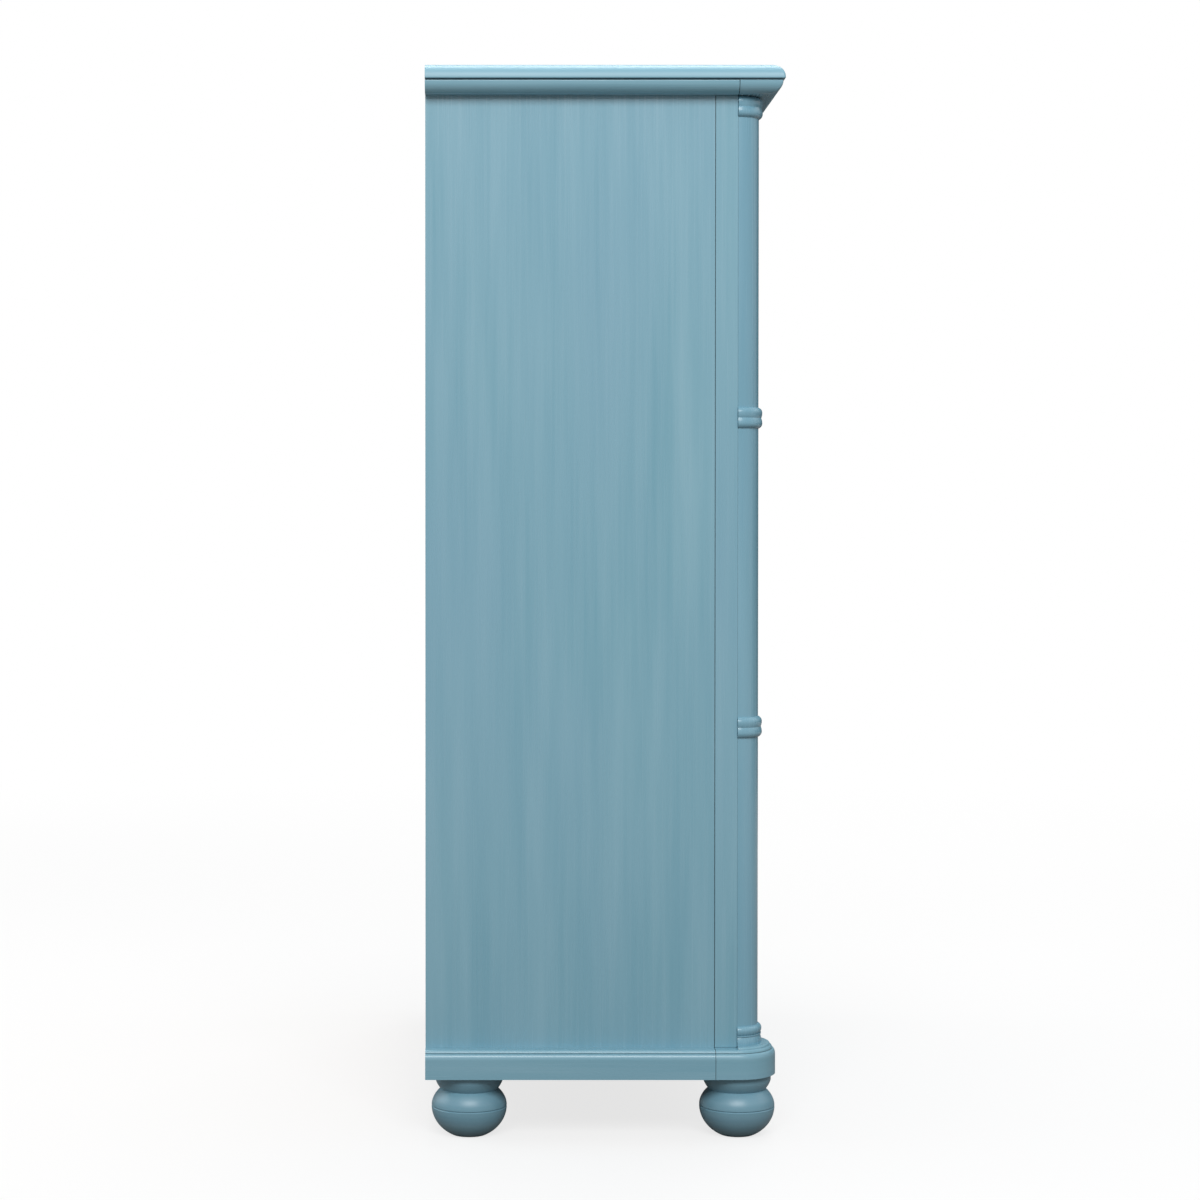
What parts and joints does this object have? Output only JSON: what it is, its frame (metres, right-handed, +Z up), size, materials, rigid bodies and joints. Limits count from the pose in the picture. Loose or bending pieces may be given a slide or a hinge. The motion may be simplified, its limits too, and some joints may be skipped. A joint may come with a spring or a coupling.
{
  "type": "door chest",
  "caption": "Tall painted chest with framed doors over wide drawers, ringed half-round corner columns, a moulded cornice and base, and turned bun feet.",
  "frame": {"origin": "floor level, under the middle of the outline", "axes": "+X to the right of someone who faces the front, +Y towards the back, +Z up; the front faces -Y"},
  "size_m": [1.016, 0.508, 1.524],
  "materials": {
    "painted_wood": "brushed semi-gloss blue paint on wood",
    "drawer_wood": "clear satin lacquer on solid wood",
    "plywood": "plain plywood",
    "hinge_steel": "brushed",
    "knob_metal": "aged pewter"
  },
  "bodies": {
    "case": {"top_board": "painted_wood", "cornice_front": "painted_wood", "cornice_left": "painted_wood", "cornice_right": "painted_wood", "sub_top": "painted_wood", "side_panel_left": "painted_wood", "side_panel_right": "painted_wood", "post_left": "painted_wood", "post_right": "painted_wood", "column_left": "painted_wood", "column_right": "painted_wood", "plinth_left": "painted_wood", "plinth_right": "painted_wood", "base_left": "painted_wood", "base_right": "painted_wood", "base_front": "painted_wood", "base_rear": "drawer_wood", "rear_foot_blocks": "drawer_wood", "case_bottom": "drawer_wood", "bun_feet": "painted_wood", "rail_top": "painted_wood", "rail_middle": "painted_wood", "rail_drawers": "painted_wood", "rail_bottom": "painted_wood", "cabinet_floor": "painted_wood", "back_panel": "plywood", "shelves": "painted_wood", "shelf_pins": "hinge_steel", "drawer_runners": "drawer_wood", "door_stop": "painted_wood", "door_magnets": "hinge_steel", "frame_hinge_leaves": "hinge_steel", "hinge_pins": "hinge_steel"},
    "left_door": {"left_door_hinge_leaves": "hinge_steel", "left_door_hinge_stile": "painted_wood", "left_door_lock_stile": "painted_wood", "left_door_top_rail": "painted_wood", "left_door_bottom_rail": "painted_wood", "left_door_panel": "painted_wood", "left_door_knob": "knob_metal", "left_door_strike": "hinge_steel"},
    "right_door": {"right_door_hinge_leaves": "hinge_steel", "right_door_hinge_stile": "painted_wood", "right_door_lock_stile": "painted_wood", "right_door_top_rail": "painted_wood", "right_door_bottom_rail": "painted_wood", "right_door_panel": "painted_wood", "right_door_knob": "knob_metal", "right_door_strike": "hinge_steel"},
    "upper_drawer": {"upper_drawer_front": "painted_wood", "upper_drawer_sides": "drawer_wood", "upper_drawer_back": "drawer_wood", "upper_drawer_bottom": "plywood", "upper_drawer_knobs": "knob_metal"},
    "lower_drawer": {"lower_drawer_front": "painted_wood", "lower_drawer_sides": "drawer_wood", "lower_drawer_back": "drawer_wood", "lower_drawer_bottom": "plywood", "lower_drawer_knobs": "knob_metal"}
  },
  "joints": [
    {"name": "left_door_hinge", "type": "hinge", "parent": "case", "child": "left_door", "pos_m": [-0.3945, -0.1932, 0.60105], "axis": [0, 0, -1], "range_deg": [0, 110]},
    {"name": "right_door_hinge", "type": "hinge", "parent": "case", "child": "right_door", "pos_m": [0.3945, -0.1932, 0.60105], "axis": [0, 0, 1], "range_deg": [0, 110]},
    {"name": "upper_drawer_slide", "type": "slide", "parent": "case", "child": "upper_drawer", "axis": [0, -1, 0], "range_m": [0, 0.3]},
    {"name": "lower_drawer_slide", "type": "slide", "parent": "case", "child": "lower_drawer", "axis": [0, -1, 0], "range_m": [0, 0.3]}
  ]
}
